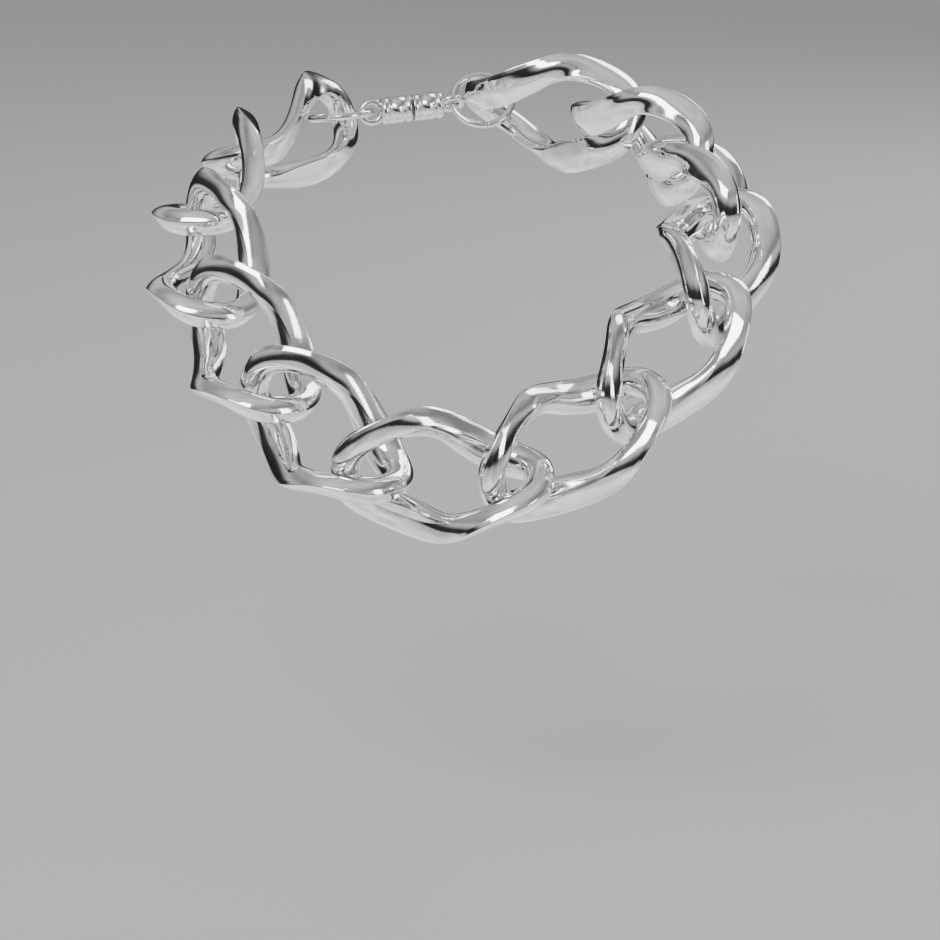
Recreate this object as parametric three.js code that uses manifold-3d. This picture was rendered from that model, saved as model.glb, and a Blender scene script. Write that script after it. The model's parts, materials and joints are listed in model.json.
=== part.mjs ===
// A chunky curb-chain necklace in its worn shape: twelve wide, twisted links and a magnetic clasp,
// closed in a loop round a neck and lying on the shoulders and chest.
// Millimetres. +X is to the wearer's left, -Y is the front, +Z is up.
// The origin is on the neck's axis, level with the clasp at the nape.
import * as THREE from 'three';
import Module from 'manifold-3d';
import { ParametricGeometry } from 'three/addons/geometries/ParametricGeometry.js';
import { mergeVertices } from 'three/addons/utils/BufferGeometryUtils.js';

// ---- driving dimensions: one link ----
const LINK_LENGTH = 67.5;                       // over the two bows
const LINK_WIDTH = 41;                          // over the two strands
const LINK_TWIST = THREE.MathUtils.degToRad(90); // from one bow to the other
const OVAL_POWER = 2.4;                         // 2 is an ellipse, more is squarer
const BAND_REACH = 3.6;                         // from the oval line to the band's outermost edge
const BAND_SKEW = THREE.MathUtils.degToRad(40); // lean of the band from the link's face
const BAND_TURN_OFFSET = 4.6;                   // each strand turns over this far past mid length
const BAND_TURN_SHARPNESS = 3;                  // how quickly it turns over
const BAND_MIDDLE = [-3.8, -0.5];               // of the section below, along the band and up through it
// The section's middle moves and the section rounds off where a strand rolls over, half way along,
// and again round the bows. A roundness of 1 is a full circle.
const BOW = { middle: [0.2, -1.15], radius: 4.5, roundness: 0.85 };
const ROLL = { middle: [-1.9, -0.9], radius: 4.6, roundness: 0.7 };
const ROLL_SHARPNESS = 3.5;                     // more makes the rounded stretch shorter
const BOW_REACH = 5.35;                         // from the oval line to the bow's tip
const BOW_CENTRE = 29.4;                        // from mid length to the middle of the bow's section
const RING_STEPS = 36;

// Corners of the band's section, in mm: along the band and up through it. Each side, running on to
// the next corner, is domed by its crown.
const SECTION = [
  { at: [2.5, -3.2], crown: 0.5, steps: 3 },    // strip, up to the crease
  { at: [-2.2, 3.2], crown: 1.2, steps: 4 },    // inner face
  { at: [-10.4, -0.6], crown: 0, steps: 1 },    // inner edge
  { at: [-10.2, -1.8], crown: 0.6, steps: 3 },  // back
];

// ---- driving dimensions: the chain ----
const LINK_PITCH = 44;
// The chain's line, from the front link round the wearer's left side and back by the right.
const ROUTE = [
  [-4.5, -120.5, -93], [37.5, -108.5, -78], [68, -89, -53], [84, -57, -30], [81, -18, -14],
  [66, 22, -5], [36, 54, 0], [-8, 68, 0], [-58, 43, -7], [-76, 3, -14], [-82, -36, -31],
  [-69, -71, -54], [-44, -99, -76],
];
// The lean of each link's face, in degrees from facing up to facing straight out.
const FRONT_LEAN = 68;
const LEFT_LEANS = [61, 50, 42, 52, 62, 76];    // wearer's left, front to back
const RIGHT_LEANS = [53, 43, 38, 48, 61];       // wearer's right, front to back

// ---- driving dimensions: the clasp, a barrel in two halves held together by magnets ----
const RING_RADIUS = 10;                         // jump ring, to the middle of its wire
const RING_WIRE = 1.2;                          // radius of the wire
const EYE_RADIUS = 3.4;                         // eye on the end of each half, to the middle of its wire
const EYE_WIRE = 1.1;
const EYE_PULL = 0.6;                           // from the ring's wire to the eye's middle
const HALF_LENGTH = 13.3;                       // from the eye's middle to the half's face
const BARREL_RADIUS = 4.5;
const BARREL_NECK = 2.2;                        // radius where the barrel meets the eye
const BARREL_ROUND = 1.6;                       // length over which it rounds down to the neck
const RIM_CHAMFER = 0.4;
const FACE_GAP = 0.9;                           // between the two halves' faces
const MAGNET_RADIUS = 3.3;
const MAGNET_THICKNESS = 2.4;
const MAGNET_SETBACK = 0.2;                     // below the barrel's rim
const FIT_GAP = 0.3;                            // round and behind the magnet
const WIRE_STEPS = 6;
const ROUND_STEPS = 20;

const wasm = await Module();
wasm.setup();

const silver = () => new THREE.MeshStandardMaterial({ color: 0xc9cacd, metalness: 1, roughness: 0.07 });
const magnetSteel = () => new THREE.MeshStandardMaterial({ color: 0x8d8f93, metalness: 1, roughness: 0.3 });

// The section's outline, one point for each step round it.
function sectionOutline() {
  return SECTION.flatMap(({ at, crown, steps }, corner) => {
    const to = SECTION[(corner + 1) % SECTION.length].at;
    const run = [to[0] - at[0], to[1] - at[1]];
    const length = Math.hypot(...run);
    return Array.from({ length: steps }, (_, step) => {
      const share = step / steps;
      const dome = 4 * crown * share * (1 - share) / length;
      return [at[0] + run[0] * share + run[1] * dome, at[1] + run[1] * share - run[0] * dome];
    });
  });
}

// A point of a section as the section's middle moves to a circle's middle, and the section rounds off
// towards that circle, by an amount from 0 to 1.
function roundedOff(point, middle, circle, amount) {
  const arm = [point[0] - middle[0], point[1] - middle[1]];
  const reach = Math.hypot(...arm);
  const roundReach = circle.radius * circle.roundness + reach * (1 - circle.roundness);
  const scale = 1 + (roundReach / reach - 1) * amount;
  const moved = movedMiddle(middle, circle, amount);
  return [moved[0] + arm[0] * scale, moved[1] + arm[1] * scale];
}

function movedMiddle(middle, circle, amount) {
  return middle.map((value, axis) => value + (circle.middle[axis] - value) * amount);
}

// One link, its length along X, its width along Y and its face along Z.
function linkGeometry() {
  const outline = sectionOutline();
  const halfLength = LINK_LENGTH / 2 - BOW_REACH;
  const halfWidth = LINK_WIDTH / 2 - BAND_REACH;
  const bent = (value) => Math.sign(value) * Math.abs(value) ** (2 / OVAL_POWER);
  const oval = (angle) => new THREE.Vector2(
    halfLength * bent(Math.cos(angle)),
    halfWidth * bent(Math.sin(angle)),
  );
  const place = (ring, around, target) => {
    const angle = ring * 2 * Math.PI;
    const at = oval(angle);
    const ahead = oval(angle + 0.01).sub(oval(angle - 0.01)).normalize();
    const turnShare = (at.x + BAND_TURN_OFFSET * at.y / halfWidth) / halfLength;
    const roll = 1 - Math.tanh(ROLL_SHARPNESS * turnShare) ** 2;
    const bow = Math.abs(at.x / halfLength) ** 3;
    const point = outline[Math.round(around * outline.length) % outline.length];
    const rolled = roundedOff(point, BAND_MIDDLE, ROLL, roll);
    const [along, up] = roundedOff(rolled, movedMiddle(BAND_MIDDLE, ROLL, roll), BOW, bow);
    const outward = along * Math.sin(BAND_SKEW) - up * Math.cos(BAND_SKEW);
    const across = along * Math.cos(BAND_SKEW) + up * Math.sin(BAND_SKEW);
    const side = -ahead.x * outward;
    const bandTurn = -LINK_TWIST / 2
      * Math.tanh(BAND_TURN_SHARPNESS * turnShare) / Math.tanh(BAND_TURN_SHARPNESS);
    const loopTurn = -LINK_TWIST / 2 * Math.sin(at.x / halfLength * Math.PI / 2);
    target.set(
      at.x + ahead.y * outward,
      at.y * Math.cos(loopTurn) + side * Math.cos(bandTurn) - across * Math.sin(bandTurn),
      at.y * Math.sin(loopTurn) + side * Math.sin(bandTurn) + across * Math.cos(bandTurn),
    );
  };
  return welded(new ParametricGeometry(place, RING_STEPS, outline.length));
}

function welded(geometry) {
  geometry.deleteAttribute('normal');
  geometry.deleteAttribute('uv');
  return mergeVertices(geometry, 1e-3);
}

function solid(geometry) {
  const merged = welded(geometry);
  return new wasm.Manifold(new wasm.Mesh({
    numProp: 3,
    vertProperties: new Float32Array(merged.attributes.position.array),
    triVerts: new Uint32Array(merged.index.array),
  }));
}

function geometryOf(manifold) {
  const { vertProperties, triVerts } = manifold.getMesh();
  const geometry = new THREE.BufferGeometry();
  geometry.setAttribute('position', new THREE.BufferAttribute(vertProperties, 3));
  geometry.setIndex(new THREE.BufferAttribute(triVerts, 1));
  return geometry;
}

const route = new THREE.CatmullRomCurve3(ROUTE.map((point) => new THREE.Vector3(...point)), true);

// The route's share at a straight distance from another share, going left (1) or right (-1).
function shareAtDistance(share, distance, direction) {
  const from = route.getPointAt(share);
  let near = 0;
  let far = 0.2;
  for (let halving = 0; halving < 40; halving += 1) {
    const middle = (near + far) / 2;
    const there = route.getPointAt((share + direction * middle + 1) % 1);
    if (there.distanceTo(from) < distance) near = middle;
    else far = middle;
  }
  return (share + direction * near + 1) % 1;
}

// The points where the links of one side meet, from the front link's bow to the last free bow.
function jointPoints(count, direction) {
  let share = shareAtDistance(0, LINK_PITCH / 2, direction);
  const points = [route.getPointAt(share)];
  for (let link = 0; link < count; link += 1) {
    share = shareAtDistance(share, LINK_PITCH, direction);
    points.push(route.getPointAt(share));
  }
  return points;
}

function placedMesh(name, geometry, material, matrix) {
  const mesh = new THREE.Mesh(geometry, material);
  mesh.name = name;
  matrix.decompose(mesh.position, mesh.quaternion, mesh.scale);
  return mesh;
}

// The frame of a link between two joints: X along the chain, Z out of the link's face.
function linkFrame(from, to, lean) {
  const at = new THREE.Vector3().addVectors(from, to).multiplyScalar(0.5);
  const along = new THREE.Vector3().subVectors(to, from).normalize();
  const out = new THREE.Vector3(at.x, at.y, 0).normalize();
  const angle = THREE.MathUtils.degToRad(lean);
  const face = new THREE.Vector3(0, 0, Math.cos(angle)).addScaledVector(out, Math.sin(angle));
  face.addScaledVector(along, -face.dot(along)).normalize();
  const across = new THREE.Vector3().crossVectors(face, along);
  return new THREE.Matrix4().makeBasis(along, across, face).setPosition(at);
}

// One half of the clasp's barrel: the eye's middle at the origin, its face at HALF_LENGTH along X.
function barrelHalf() {
  const start = EYE_RADIUS - EYE_WIRE / 2;
  const pocket = HALF_LENGTH - MAGNET_SETBACK - MAGNET_THICKNESS - FIT_GAP;
  const pocketRadius = MAGNET_RADIUS + FIT_GAP;
  const shoulder = start + BARREL_ROUND;
  const midShoulder = start + BARREL_ROUND * 0.3;
  const midRadius = BARREL_NECK + (BARREL_RADIUS - BARREL_NECK) * 0.7;
  const profile = [
    [0, start], [BARREL_NECK, start], [midRadius, midShoulder], [BARREL_RADIUS, shoulder],
    [BARREL_RADIUS, HALF_LENGTH - RIM_CHAMFER], [BARREL_RADIUS - RIM_CHAMFER, HALF_LENGTH],
    [pocketRadius, HALF_LENGTH], [pocketRadius, pocket], [0, pocket],
  ].map(([radius, height]) => new THREE.Vector2(radius, height));
  const barrel = solid(new THREE.LatheGeometry(profile, ROUND_STEPS).rotateZ(-Math.PI / 2));
  const eye = solid(new THREE.TorusGeometry(EYE_RADIUS, EYE_WIRE, WIRE_STEPS, ROUND_STEPS));
  return geometryOf(barrel.add(eye));
}

function magnetDisc() {
  const disc = new THREE.CylinderGeometry(MAGNET_RADIUS, MAGNET_RADIUS, MAGNET_THICKNESS, ROUND_STEPS);
  disc.rotateZ(-Math.PI / 2);
  disc.translate(HALF_LENGTH - MAGNET_SETBACK - MAGNET_THICKNESS / 2, 0, 0);
  return welded(disc);
}

// The middle of a link's free bow: end is 1 at the link's +X bow, -1 at its -X bow.
function bowCentre(link, end) {
  return new THREE.Vector3(end * BOW_CENTRE, 0, 0).applyMatrix4(link);
}

// The line that a link's free bow follows round its tip.
function bowLine(link, end) {
  const tilt = new THREE.Matrix4().makeRotationX(-end * LINK_TWIST / 2);
  return new THREE.Vector3(0, 1, 0).transformDirection(link.clone().multiply(tilt));
}

// The frames of the jump ring and the barrel half on one side: X points to the other side.
function claspFrames(link, end, middle) {
  const bow = bowCentre(link, end);
  const along = new THREE.Vector3().subVectors(middle, bow).normalize();
  const eye = middle.clone().addScaledVector(along, -FACE_GAP / 2 - HALF_LENGTH);
  const ringAt = eye.clone().addScaledVector(along, -EYE_PULL - RING_RADIUS);
  const ringNormal = bowLine(link, end);
  ringNormal.addScaledVector(along, -ringNormal.dot(along)).normalize();
  const ringSide = new THREE.Vector3().crossVectors(ringNormal, along);
  return {
    ring: new THREE.Matrix4().makeBasis(along, ringSide, ringNormal).setPosition(ringAt),
    half: new THREE.Matrix4().makeBasis(along, ringNormal, ringSide.clone().negate()).setPosition(eye),
  };
}

const necklace = new THREE.Group();
const link = linkGeometry();
const leftJoints = jointPoints(LEFT_LEANS.length, 1);
const rightJoints = jointPoints(RIGHT_LEANS.length, -1);
const front = linkFrame(rightJoints[0], leftJoints[0], FRONT_LEAN);
const left = LEFT_LEANS.map((lean, index) => linkFrame(leftJoints[index], leftJoints[index + 1], lean));
const right = RIGHT_LEANS.map((lean, index) => linkFrame(rightJoints[index + 1], rightJoints[index], lean));
necklace.add(placedMesh('link_front', link, silver(), front));
left.forEach((frame, index) => necklace.add(placedMesh(`link_left_${index + 1}`, link, silver(), frame)));
right.forEach((frame, index) => necklace.add(placedMesh(`link_right_${index + 1}`, link, silver(), frame)));

const ring = welded(new THREE.TorusGeometry(RING_RADIUS, RING_WIRE, WIRE_STEPS, ROUND_STEPS));
const barrel = barrelHalf();
const magnet = magnetDisc();
const ends = [
  { side: 'left', last: left.at(-1), end: 1 },
  { side: 'right', last: right.at(-1), end: -1 },
];
const middle = new THREE.Vector3();
ends.forEach(({ last, end }) => middle.addScaledVector(bowCentre(last, end), 0.5));
ends.forEach(({ side, last, end }) => {
  const frames = claspFrames(last, end, middle);
  necklace.add(placedMesh(`jump_ring_${side}`, ring, silver(), frames.ring));
  necklace.add(placedMesh(`clasp_barrel_${side}`, barrel, silver(), frames.half));
  necklace.add(placedMesh(`clasp_magnet_${side}`, magnet, magnetSteel(), frames.half));
});

export default necklace;
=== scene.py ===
import json
import math

import bpy
import numpy as np
from mathutils import Matrix, Vector

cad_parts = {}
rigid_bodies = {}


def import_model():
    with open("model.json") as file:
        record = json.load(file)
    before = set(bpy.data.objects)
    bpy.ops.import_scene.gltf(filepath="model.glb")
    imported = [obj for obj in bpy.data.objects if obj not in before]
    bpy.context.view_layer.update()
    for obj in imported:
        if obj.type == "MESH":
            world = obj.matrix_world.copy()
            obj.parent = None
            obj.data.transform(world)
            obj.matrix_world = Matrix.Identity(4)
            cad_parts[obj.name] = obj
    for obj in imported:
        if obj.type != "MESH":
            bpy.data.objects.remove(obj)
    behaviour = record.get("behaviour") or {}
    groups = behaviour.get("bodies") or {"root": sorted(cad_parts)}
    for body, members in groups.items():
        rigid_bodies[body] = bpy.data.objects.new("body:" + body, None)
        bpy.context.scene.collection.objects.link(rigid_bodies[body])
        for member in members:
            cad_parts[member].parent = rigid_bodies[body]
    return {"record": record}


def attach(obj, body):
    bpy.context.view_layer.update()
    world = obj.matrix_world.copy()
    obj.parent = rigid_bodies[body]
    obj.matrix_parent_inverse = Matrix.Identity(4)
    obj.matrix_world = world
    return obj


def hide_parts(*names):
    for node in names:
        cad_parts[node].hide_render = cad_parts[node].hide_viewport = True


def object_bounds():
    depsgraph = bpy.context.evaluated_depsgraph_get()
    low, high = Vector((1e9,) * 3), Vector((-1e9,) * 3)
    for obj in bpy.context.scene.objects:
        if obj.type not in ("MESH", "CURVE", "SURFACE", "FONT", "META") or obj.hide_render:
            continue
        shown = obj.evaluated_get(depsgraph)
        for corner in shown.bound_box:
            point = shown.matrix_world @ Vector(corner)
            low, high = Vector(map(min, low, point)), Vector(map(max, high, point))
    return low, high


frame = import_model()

cad_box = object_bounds()

MM = 0.001

# ---- one link: the driving dimensions are those of the CAD link ----
LINK_LENGTH = 67.5
LINK_WIDTH = 41
LINK_TWIST = math.radians(90)
OVAL_POWER = 2.4
BAND_REACH = 3.6
BAND_SKEW = math.radians(40)
BAND_TURN_OFFSET = 4.6
BAND_TURN_SHARPNESS = 3
BAND_MIDDLE = (-3.8, -0.5)
# The section's middle moves and the section rounds off where a strand rolls over, half way along,
# and again round the bows. A roundness of 1 is a full circle.
BOW = {"middle": (0.2, -1.15), "radius": 4.5, "roundness": 0.85}
BOW_SHARPNESS = 3
ROLL = {"middle": (-1.9, -0.9), "radius": 4.6, "roundness": 0.7}
ROLL_SHARPNESS = 3.5
BOW_REACH = 5.35
LINK_RING_STEPS = 160
DIRECTION_STEP = 0.01       # radians either way, to find which way the oval runs
# Corners of the band's section, how far each side, running on to the next corner, is domed, and how
# much of both its sides each corner's rounding takes.
SECTION = [
    {"at": (2.5, -3.2), "crown": 0.5, "steps": 8, "rounding": 1.8},     # strip, up to the crease
    {"at": (-2.2, 3.2), "crown": 1.2, "steps": 14, "rounding": 0.4},    # inner face
    {"at": (-10.4, -0.6), "crown": 0.0, "steps": 3, "rounding": 0.5},   # inner edge
    {"at": (-10.2, -1.8), "crown": 0.6, "steps": 12, "rounding": 0.5},  # back
]
EDGE_STEPS = 6

# ---- the chain: the frame's hinges are where the links meet ----
LINK_PITCH = 44
FRONT_LEAN = 68
LEFT_LEANS = [61, 50, 42, 52, 62, 76]
RIGHT_LEANS = [53, 43, 38, 48, 61]

# ---- the clasp ----
RING_RADIUS = 10
RING_WIRE = 1.2
RING_CUT = 0.16
EYE_RADIUS = 3.4
EYE_WIRE = 1.1
EYE_STEPS = 64
EYE_PULL = 0.6
HALF_LENGTH = 13.3
BARREL_RADIUS = 4.5
BARREL_NECK = 2.2
BARREL_ROUND = 1.6
SHOULDER_STEPS = 14
RIM_ROUNDING = 0.4
RIM_STEPS = 8
GROOVE_DEPTH = 0.22
GROOVE_WIDTH = 0.5
GROOVE_STEPS = 9
GROOVE_FROM_SHOULDER = 1.2
GROOVE_FROM_FACE = 1.9
POCKET_CHAMFER = 0.12
MAGNET_RADIUS = 3.3
MAGNET_THICKNESS = 2.4
MAGNET_SETBACK = 0.2
MAGNET_ROUNDING = 0.25
MAGNET_EDGE_STEPS = 6
MAGNET_ARC_STOP = 10        # degrees short of the flat face at which an edge's arc ends
FIT_GAP = 0.3
ROUND_STEPS = 96
WIRE_STEPS = 24


# ---- meshes ----

def grid_mesh(name, rows, close_rows=True, cap_ends=False):
    """A mesh from rows of points, in millimetres. Each row is a closed loop."""
    rows = np.asarray(rows, float) * MM
    count, around = rows.shape[:2]
    faces = []
    for row in range(count if close_rows else count - 1):
        after = (row + 1) % count
        for step in range(around):
            beside = (step + 1) % around
            faces.append((row * around + step, row * around + beside,
                          after * around + beside, after * around + step))
    if cap_ends:
        faces.append(tuple(range(around))[::-1])
        faces.append(tuple((count - 1) * around + step for step in range(around)))
    mesh = bpy.data.meshes.new(name)
    mesh.from_pydata(rows.reshape(-1, 3).tolist(), [], faces)
    mesh.shade_smooth()
    mesh.update()
    return mesh


def section_outline():
    """The band's section with rounded corners: points along the band and up through it."""
    corners = [np.array(side["at"], float) for side in SECTION]
    points = []
    for index, side in enumerate(SECTION):
        after = (index + 1) % len(SECTION)
        start, end = corners[index], corners[after]
        before = corners[index - 1]
        run = end - start
        length = np.linalg.norm(run)
        ahead = run / length
        out = np.array([ahead[1], -ahead[0]])
        rounding = side["rounding"]
        ending = SECTION[after]["rounding"]
        behind = (before - start) / np.linalg.norm(before - start)
        first = start + behind * rounding
        last = start + ahead * rounding
        for step in range(EDGE_STEPS):
            share = (step + 0.5) / EDGE_STEPS
            to_corner = 2 * share * (1 - share) * start
            points.append((1 - share) ** 2 * first + to_corner + share ** 2 * last)
        between = length - rounding - ending
        for step in range(side["steps"]):
            share = (rounding + between * (step + 0.5) / side["steps"]) / length
            # 4 * share * (1 - share) is a dome, one high half way along the side.
            points.append(start + run * share + out * 4 * side["crown"] * share * (1 - share))
    return np.array(points)


def rounded_off(arm, middle, circle, amount):
    """A section's arms from its middle, and that middle, rounded off towards a circle by an amount."""
    reach = np.linalg.norm(arm, axis=-1, keepdims=True)
    round_reach = circle["radius"] * circle["roundness"] + reach * (1 - circle["roundness"])
    scale = 1 + (round_reach / reach - 1) * amount
    return arm * scale, middle + (np.array(circle["middle"]) - middle) * amount


def link_mesh():
    """One link, its length along X, its width along Y and its face along Z."""
    half_length = LINK_LENGTH / 2 - BOW_REACH
    half_width = LINK_WIDTH / 2 - BAND_REACH

    def bent(value):
        return np.sign(value) * np.abs(value) ** (2 / OVAL_POWER)

    def oval(angle):
        return half_length * bent(np.cos(angle)), half_width * bent(np.sin(angle))

    angle = np.linspace(0, 2 * math.pi, LINK_RING_STEPS, endpoint=False)[:, None]
    x, y = oval(angle)
    later = oval(angle + DIRECTION_STEP)
    earlier = oval(angle - DIRECTION_STEP)
    run_x = later[0] - earlier[0]
    run_y = later[1] - earlier[1]
    size = np.hypot(run_x, run_y)
    ahead_x = run_x / size
    ahead_y = run_y / size
    turn_share = (x + BAND_TURN_OFFSET * y / half_width) / half_length
    roll = 1 - np.tanh(ROLL_SHARPNESS * turn_share) ** 2
    bow = np.abs(x / half_length) ** BOW_SHARPNESS
    arm = (section_outline() - np.array(BAND_MIDDLE))[None]
    arm, middle = rounded_off(arm, np.array(BAND_MIDDLE), ROLL, roll[..., None])
    arm, middle = rounded_off(arm, middle, BOW, bow[..., None])
    along, up = np.moveaxis(middle + arm, -1, 0)
    outward = along * math.sin(BAND_SKEW) - up * math.cos(BAND_SKEW)
    across = along * math.cos(BAND_SKEW) + up * math.sin(BAND_SKEW)
    side = -ahead_x * outward
    full_turn = math.tanh(BAND_TURN_SHARPNESS)
    band_turn = -LINK_TWIST / 2 * np.tanh(BAND_TURN_SHARPNESS * turn_share) / full_turn
    loop_turn = -LINK_TWIST / 2 * np.sin(x / half_length * math.pi / 2)
    points = np.stack([
        x + ahead_y * outward,
        y * np.cos(loop_turn) + side * np.cos(band_turn) - across * np.sin(band_turn),
        y * np.sin(loop_turn) + side * np.sin(band_turn) + across * np.cos(band_turn),
    ], axis=-1)
    return grid_mesh("link", points)


def circle_rows(radius, wire, start, end, steps, closed):
    """Rows of points of a wire bent round Z, from one angle to another. A closed one has no ends."""
    turns = np.linspace(start, end, steps, endpoint=not closed)
    spin = np.linspace(0, 2 * math.pi, WIRE_STEPS, endpoint=False)
    rows = []
    for turn in turns:
        reach = radius + wire * np.cos(spin)
        rows.append(np.stack([
            reach * math.cos(turn), reach * math.sin(turn), wire * np.sin(spin),
        ], axis=-1))
    return rows


def jump_ring_mesh():
    """A ring of round wire, cut through at one side, where it was opened to be fitted."""
    half_cut = RING_CUT / 2 / RING_RADIUS
    start = math.pi / 2 + half_cut
    end = start + 2 * math.pi - 2 * half_cut
    rows = circle_rows(RING_RADIUS, RING_WIRE, start, end, ROUND_STEPS, closed=False)
    return grid_mesh("jump_ring", rows, close_rows=False, cap_ends=True)


def eye_mesh():
    """The closed wire eye of a barrel half, which its jump ring passes through."""
    rows = circle_rows(EYE_RADIUS, EYE_WIRE, 0, 2 * math.pi, EYE_STEPS, closed=True)
    return grid_mesh("eye", rows)


def lathe_mesh(name, profile):
    """A profile of (distance along X, radius) spun round X, with flat ends."""
    spin = np.linspace(0, 2 * math.pi, ROUND_STEPS, endpoint=False)
    rows = [
        np.stack([np.full_like(spin, along), radius * np.cos(spin), radius * np.sin(spin)], axis=-1)
        for along, radius in profile
    ]
    return grid_mesh(name, rows, close_rows=False, cap_ends=True)


def arc(middle, radius, first, last, steps):
    """Points (along, radius) on an arc, its angles in degrees from the X axis."""
    angles = np.radians(np.linspace(first, last, steps))
    return [(middle[0] + radius * math.cos(a), middle[1] + radius * math.sin(a)) for a in angles]


def groove(at):
    """A narrow round-bottomed groove round the barrel."""
    return [
        (at - GROOVE_WIDTH / 2 * math.cos(a), BARREL_RADIUS - GROOVE_DEPTH * math.sin(a))
        for a in np.linspace(0, math.pi, GROOVE_STEPS)
    ]


def barrel_mesh():
    """One half of the barrel, with grooves round it and a pocket in its face for the magnet."""
    start = EYE_RADIUS - EYE_WIRE / 2
    pocket = HALF_LENGTH - MAGNET_SETBACK - MAGNET_THICKNESS - FIT_GAP
    pocket_radius = MAGNET_RADIUS + FIT_GAP
    shoulder = [
        (start + BARREL_ROUND * (1 - math.cos(a)),
         BARREL_NECK + (BARREL_RADIUS - BARREL_NECK) * math.sin(a))
        for a in np.linspace(0, math.pi / 2, SHOULDER_STEPS)
    ]
    rim_middle = (HALF_LENGTH - RIM_ROUNDING, BARREL_RADIUS - RIM_ROUNDING)
    profile = [
        *shoulder,
        *groove(start + BARREL_ROUND + GROOVE_FROM_SHOULDER),
        *groove(HALF_LENGTH - GROOVE_FROM_FACE),
        *arc(rim_middle, RIM_ROUNDING, 90, 0, RIM_STEPS),
        (HALF_LENGTH, pocket_radius + POCKET_CHAMFER),
        (HALF_LENGTH - POCKET_CHAMFER, pocket_radius),
        (pocket + POCKET_CHAMFER, pocket_radius),
        (pocket, pocket_radius - POCKET_CHAMFER),
    ]
    return lathe_mesh("barrel", profile)


def magnet_mesh():
    """A disc magnet with rounded edges, seated in the barrel's face."""
    face = HALF_LENGTH - MAGNET_SETBACK
    back = face - MAGNET_THICKNESS
    flat_radius = MAGNET_RADIUS - MAGNET_ROUNDING
    back_arc = (back + MAGNET_ROUNDING, flat_radius)
    face_arc = (face - MAGNET_ROUNDING, flat_radius)
    profile = [
        (back, flat_radius),
        *arc(back_arc, MAGNET_ROUNDING, 180 - MAGNET_ARC_STOP, 90, MAGNET_EDGE_STEPS),
        *arc(face_arc, MAGNET_ROUNDING, 90, MAGNET_ARC_STOP, MAGNET_EDGE_STEPS),
        (face, flat_radius),
    ]
    return lathe_mesh("magnet", profile)


# ---- materials ----

# Each piece's own coordinates are kept on its mesh, moved on by a step per piece, in metres, so that
# no two pieces carry the same pattern.
PLACE = "place"
PLACE_STEP = 0.37


class Nodes:
    """A short way to add and link the nodes of one material."""

    def __init__(self, name):
        self.material = bpy.data.materials.new(name)
        self.material.use_nodes = True
        self.tree = self.material.node_tree
        self.shader = self.tree.nodes["Principled BSDF"]

    def add(self, kind, inputs=(), **settings):
        node = self.tree.nodes.new(kind)
        for key, value in settings.items():
            setattr(node, key, value)
        for socket, value in dict(inputs).items():
            if isinstance(value, bpy.types.NodeSocket):
                self.tree.links.new(value, node.inputs[socket])
            else:
                node.inputs[socket].default_value = value
        return node

    def feed(self, socket, value):
        self.tree.links.new(value, self.shader.inputs[socket])

    def place(self, stretch=(1, 1, 1)):
        """The place on the piece, in metres along its own axes, stretched along them."""
        where = self.add("ShaderNodeAttribute", attribute_name=PLACE).outputs["Vector"]
        return self.add("ShaderNodeMapping", {"Vector": where, "Scale": stretch}).outputs[0]

    def ramp(self, value, low, high, first, last):
        """value from low to high becomes a value from first to last."""
        node = self.add("ShaderNodeMapRange", {
            "Value": value, "From Min": low, "From Max": high, "To Min": first, "To Max": last,
        })
        return node.outputs["Result"]

    def noise(self, where, scale, detail=2.0, roughness=0.5):
        node = self.add("ShaderNodeTexNoise", {
            "Vector": where, "Scale": scale, "Detail": detail, "Roughness": roughness,
        })
        return node.outputs["Fac"]

    def bump(self, height, strength, distance, below=None):
        node = self.add("ShaderNodeBump", {"Height": height, "Strength": strength, "Distance": distance})
        if below is not None:
            self.tree.links.new(below, node.inputs["Normal"])
        return node.outputs["Normal"]

    def mix(self, share, first, second):
        node = self.add("ShaderNodeMix", data_type="RGBA")
        self.tree.links.new(share, node.inputs["Factor"])
        node.inputs["A"].default_value = (*first, 1)
        node.inputs["B"].default_value = (*second, 1)
        return node.outputs["Result"]


def polished_silver():
    """Mirror-bright plating over a cast band: slow waves, faint smudges and hair-fine scratches."""
    nodes = Nodes("polished_silver")
    nodes.shader.inputs["Metallic"].default_value = 1.0
    plain = nodes.place()
    tint = nodes.ramp(nodes.noise(plain, scale=60, detail=3), low=0.35, high=0.65, first=0, last=1)
    nodes.feed("Base Color", nodes.mix(tint, (0.83, 0.83, 0.84), (0.9, 0.9, 0.905)))
    smudge = nodes.noise(plain, scale=130, detail=5, roughness=0.6)
    nodes.feed("Roughness", nodes.ramp(smudge, low=0.4, high=0.75, first=0.06, last=0.15))
    waves = nodes.bump(nodes.noise(plain, scale=70, detail=1), strength=0.4, distance=0.0014)
    scratches = nodes.noise(nodes.place(stretch=(0.08, 1, 1)), scale=5200, detail=2)
    fine = nodes.ramp(scratches, low=0.62, high=0.72, first=0, last=-1)
    nodes.feed("Normal", nodes.bump(fine, strength=0.1, distance=0.00004, below=waves))
    return nodes.material


def turned_silver():
    """The clasp's plating: bright, with faint lathe lines round the barrel."""
    nodes = Nodes("turned_silver")
    nodes.shader.inputs["Metallic"].default_value = 1.0
    lines = nodes.noise(nodes.place(stretch=(1, 0.01, 0.01)), scale=5000, detail=2)
    nodes.feed("Base Color", nodes.mix(lines, (0.77, 0.77, 0.78), (0.84, 0.84, 0.85)))
    smudge = nodes.noise(nodes.place(), scale=300, detail=4)
    nodes.feed("Roughness", nodes.ramp(smudge, low=0.35, high=0.7, first=0.1, last=0.22))
    nodes.feed("Normal", nodes.bump(lines, strength=0.08, distance=0.00002))
    return nodes.material


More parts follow.
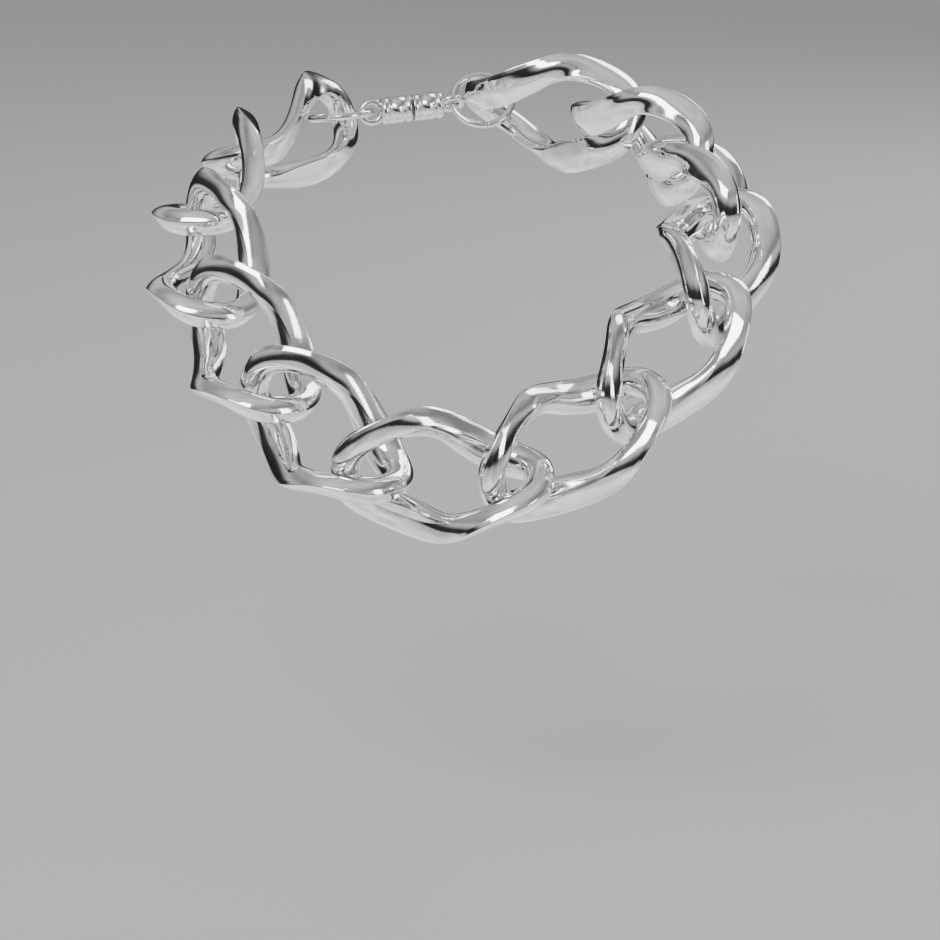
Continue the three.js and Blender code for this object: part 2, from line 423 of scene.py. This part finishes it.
def magnet_nickel():
    """Satin nickel over sintered magnet, with a fine grain."""
    nodes = Nodes("magnet_nickel")
    nodes.shader.inputs["Metallic"].default_value = 1.0
    grain = nodes.noise(nodes.place(), scale=4200, detail=4, roughness=0.6)
    nodes.feed("Base Color", nodes.mix(grain, (0.47, 0.47, 0.48), (0.6, 0.6, 0.61)))
    nodes.feed("Roughness", nodes.ramp(grain, low=0.3, high=0.7, first=0.26, last=0.42))
    nodes.feed("Normal", nodes.bump(grain, strength=0.2, distance=0.00003))
    return nodes.material


# ---- placing the pieces ----

hinges = {joint["name"]: joint for joint in frame["record"]["behaviour"]["joints"]}


def hinge_point(name):
    """Where a hinge's axis passes, in metres."""
    return Vector(hinges[name]["pos_m"])


def basis(x, y, z, at):
    """A frame from its three axes and its origin."""
    matrix = Matrix((x, y, z)).transposed().to_4x4()
    matrix.translation = at
    return matrix


def link_frame(start, ahead, lean):
    """X along the chain from the hinge at start, Z out of the link's face."""
    along = ahead.normalized()
    at = start + along * LINK_PITCH / 2 * MM
    out = Vector((at.x, at.y, 0)).normalized()
    angle = math.radians(lean)
    face = Vector((0, 0, math.cos(angle))) + out * math.sin(angle)
    face = (face - along * face.dot(along)).normalized()
    return basis(along, face.cross(along), face, at)


def link_frames():
    """Every link's name and frame."""
    frames = {}
    first_left, first_right = hinge_point("left_1_pivot"), hinge_point("right_1_pivot")
    frames["link_front"] = link_frame(first_right, first_left - first_right, FRONT_LEAN)
    for side, leans in (("left", LEFT_LEANS), ("right", RIGHT_LEANS)):
        points = [hinge_point(f"{side}_{index + 1}_pivot") for index in range(len(leans))]
        points.append(hinge_point(f"ring_{side}_pivot"))
        for index, lean in enumerate(leans):
            near, far = points[index], points[index + 1]
            away = (far - near).normalized()
            if side == "left":
                matrix = link_frame(near, away, lean)
            else:
                matrix = link_frame(near + away * LINK_PITCH * MM, -away, lean)
            frames[f"link_{side}_{index + 1}"] = matrix
    return frames


def clasp_frames(side):
    """The frames of the jump ring and the barrel half on one side: X points to the other side."""
    ring_hinge = hinges[f"ring_{side}_pivot"]
    wire = hinge_point(f"clasp_{side}_pivot")
    along = (wire - Vector(ring_hinge["pos_m"])).normalized()
    normal = Vector(ring_hinge["axis"])
    across = normal.cross(along)
    ring = basis(along, across, normal, wire - along * RING_RADIUS * MM)
    half = basis(along, normal, -across, wire + along * EYE_PULL * MM)
    return ring, half


def add_piece(name, shape, matrix, material, body, node):
    """One visible piece: it stands for a CAD node and moves with that node's body."""
    mesh = shape.copy()
    mesh.name = name
    mesh.materials.append(material)
    points = np.empty(len(mesh.vertices) * 3, np.float32)
    mesh.vertices.foreach_get("co", points)
    place = mesh.attributes.new(PLACE, "FLOAT_VECTOR", "POINT")
    place.data.foreach_set("vector", points + PLACE_STEP * len(bpy.data.objects))
    mesh.transform(matrix)
    piece = bpy.data.objects.new(name, mesh)
    bpy.context.scene.collection.objects.link(piece)
    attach(piece, body)
    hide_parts(node)
    return piece


silver = polished_silver()
clasp_silver = turned_silver()
nickel = magnet_nickel()

link = link_mesh()
for node, matrix in link_frames().items():
    add_piece(f"{node}_band", link, matrix, silver, node, node)

ring_wire = jump_ring_mesh()
barrel = barrel_mesh()
eye = eye_mesh()
magnet = magnet_mesh()
for side in ("left", "right"):
    ring_matrix, half_matrix = clasp_frames(side)
    ring_node = f"jump_ring_{side}"
    barrel_node = f"clasp_barrel_{side}"
    magnet_node = f"clasp_magnet_{side}"
    for name, shape, matrix, material, body, node, slot in (
        (f"{ring_node}_wire", ring_wire, ring_matrix, clasp_silver, ring_node, ring_node, "clasp_silver"),
        (f"{barrel_node}_body", barrel, half_matrix, clasp_silver, barrel_node, barrel_node, "clasp_silver"),
        (f"{barrel_node}_eye", eye, half_matrix, clasp_silver, barrel_node, barrel_node, "clasp_silver"),
        (f"{magnet_node}_disc", magnet, half_matrix, nickel, barrel_node, magnet_node, "magnet"),
    ):
        add_piece(name, shape, matrix, material, body, node)


# ---- the studio: a pale floor, softboxes and the camera ----

FLOOR_DROP = 0.095
FLOOR_RADIUS = 5
FLOOR_STEPS = 96
FLOOR_COLOR = (0.52, 0.52, 0.525, 1)
FLOOR_ROUGHNESS = 0.9
SOFTBOXES = [
    {"name": "key", "at": (-0.8, -1.2, 1.2), "size": (1.2, 0.8), "power": 26},
    {"name": "fill", "at": (1.3, -1.0, 0.3), "size": (0.5, 1.1), "power": 10},
    {"name": "rim", "at": (0.7, 1.1, 0.8), "size": (0.6, 0.9), "power": 8},
]
# How bright the tent round the necklace is, by height: -1 straight below, 0 level, 1 overhead.
TENT = [
    (-1, 0.8), (-0.65, 1.0), (-0.26, 0.6), (-0.12, 0.02),
    (0.08, 0.03), (0.38, 0.42), (0.6, 0.24), (1, 0.6),
]
# A slow noise varies the tent's strength: the values of TENT_NOISE give those of TENT_STRENGTH.
TENT_STRENGTH = (1.0, 1.65)
TENT_PATCHES = 1.9
TENT_NOISE = (0.35, 0.65)


def floor():
    """A round pale floor, low enough to clear the opened chain, that the metal doesn't mirror."""
    low = cad_box[0].z - FLOOR_DROP
    turns = [2 * math.pi * step / FLOOR_STEPS for step in range(FLOOR_STEPS)]
    rim = [(FLOOR_RADIUS * math.cos(turn), FLOOR_RADIUS * math.sin(turn), low) for turn in turns]
    mesh = bpy.data.meshes.new("floor")
    mesh.from_pydata(rim, [], [tuple(range(FLOOR_STEPS))])
    material = bpy.data.materials.new("floor_paper")
    material.use_nodes = True
    shader = material.node_tree.nodes["Principled BSDF"]
    shader.inputs["Base Color"].default_value = FLOOR_COLOR
    shader.inputs["Roughness"].default_value = FLOOR_ROUGHNESS
    mesh.materials.append(material)
    paper = bpy.data.objects.new("floor", mesh)
    bpy.context.scene.collection.objects.link(paper)
    paper.visible_glossy = False


def softbox(name, at, target, size, power):
    """A large soft area light aimed at a point."""
    light = bpy.data.lights.new(name, "AREA")
    light.shape = "RECTANGLE"
    light.size, light.size_y = size
    light.energy = power
    lamp = bpy.data.objects.new(name, light)
    bpy.context.scene.collection.objects.link(lamp)
    lamp.location = at
    lamp.rotation_euler = (Vector(target) - Vector(at)).to_track_quat("-Z", "Y").to_euler()


def tent():
    """A round tent of soft light, in uneven bands by height, that the metal mirrors."""
    world = bpy.data.worlds.new("studio")
    world.use_nodes = True
    tree = world.node_tree
    place = tree.nodes.new("ShaderNodeTexCoord")
    split = tree.nodes.new("ShaderNodeSeparateXYZ")
    height = tree.nodes.new("ShaderNodeMapRange")
    height.inputs["From Min"].default_value = -1
    bands = tree.nodes.new("ShaderNodeValToRGB")
    bands.color_ramp.interpolation = "EASE"
    for _ in TENT[2:]:
        bands.color_ramp.elements.new(0.5)
    for element, (level, grey) in zip(bands.color_ramp.elements, TENT):
        element.position = (level + 1) / 2
        element.color = (grey, grey, grey, 1)
    tree.links.new(place.outputs["Generated"], split.inputs[0])
    tree.links.new(split.outputs["Z"], height.inputs["Value"])
    tree.links.new(height.outputs["Result"], bands.inputs["Fac"])
    patches = tree.nodes.new("ShaderNodeTexNoise")
    patches.inputs["Scale"].default_value = TENT_PATCHES
    patches.inputs["Detail"].default_value = 1
    strength = tree.nodes.new("ShaderNodeMapRange")
    strength.inputs["From Min"].default_value, strength.inputs["From Max"].default_value = TENT_NOISE
    strength.inputs["To Min"].default_value, strength.inputs["To Max"].default_value = TENT_STRENGTH
    tree.links.new(place.outputs["Generated"], patches.inputs["Vector"])
    tree.links.new(patches.outputs["Fac"], strength.inputs["Value"])
    tree.links.new(bands.outputs["Color"], tree.nodes["Background"].inputs["Color"])
    tree.links.new(strength.outputs["Result"], tree.nodes["Background"].inputs["Strength"])
    bpy.context.scene.world = world


def studio():
    """The softboxes, aimed at the middle of the necklace, and the tent."""
    middle = (cad_box[0] + cad_box[1]) / 2
    for box in SOFTBOXES:
        softbox(box["name"], box["at"], middle, box["size"], box["power"])
    tent()


CAMERA_TARGET = Vector((0, -0.117, -0.088))
CAMERA_ELEVATION = math.radians(13)
CAMERA_DISTANCE = 1.2
CAMERA_LENS = 153.2
CAMERA_SENSOR = 36
CAMERA_SHIFT = (0.016, 0.0085)


def camera():
    """The photograph's view: from the front and a little above."""
    data = bpy.data.cameras.new("camera")
    data.sensor_width = CAMERA_SENSOR
    data.lens = CAMERA_LENS
    data.shift_x, data.shift_y = CAMERA_SHIFT
    view = bpy.data.objects.new("camera", data)
    back = Vector((0, -math.cos(CAMERA_ELEVATION), math.sin(CAMERA_ELEVATION)))
    view.location = CAMERA_TARGET + back * CAMERA_DISTANCE
    view.rotation_euler = (-back).to_track_quat("-Z", "Y").to_euler()
    bpy.context.scene.collection.objects.link(view)
    bpy.context.scene.camera = view


floor()
studio()
camera()
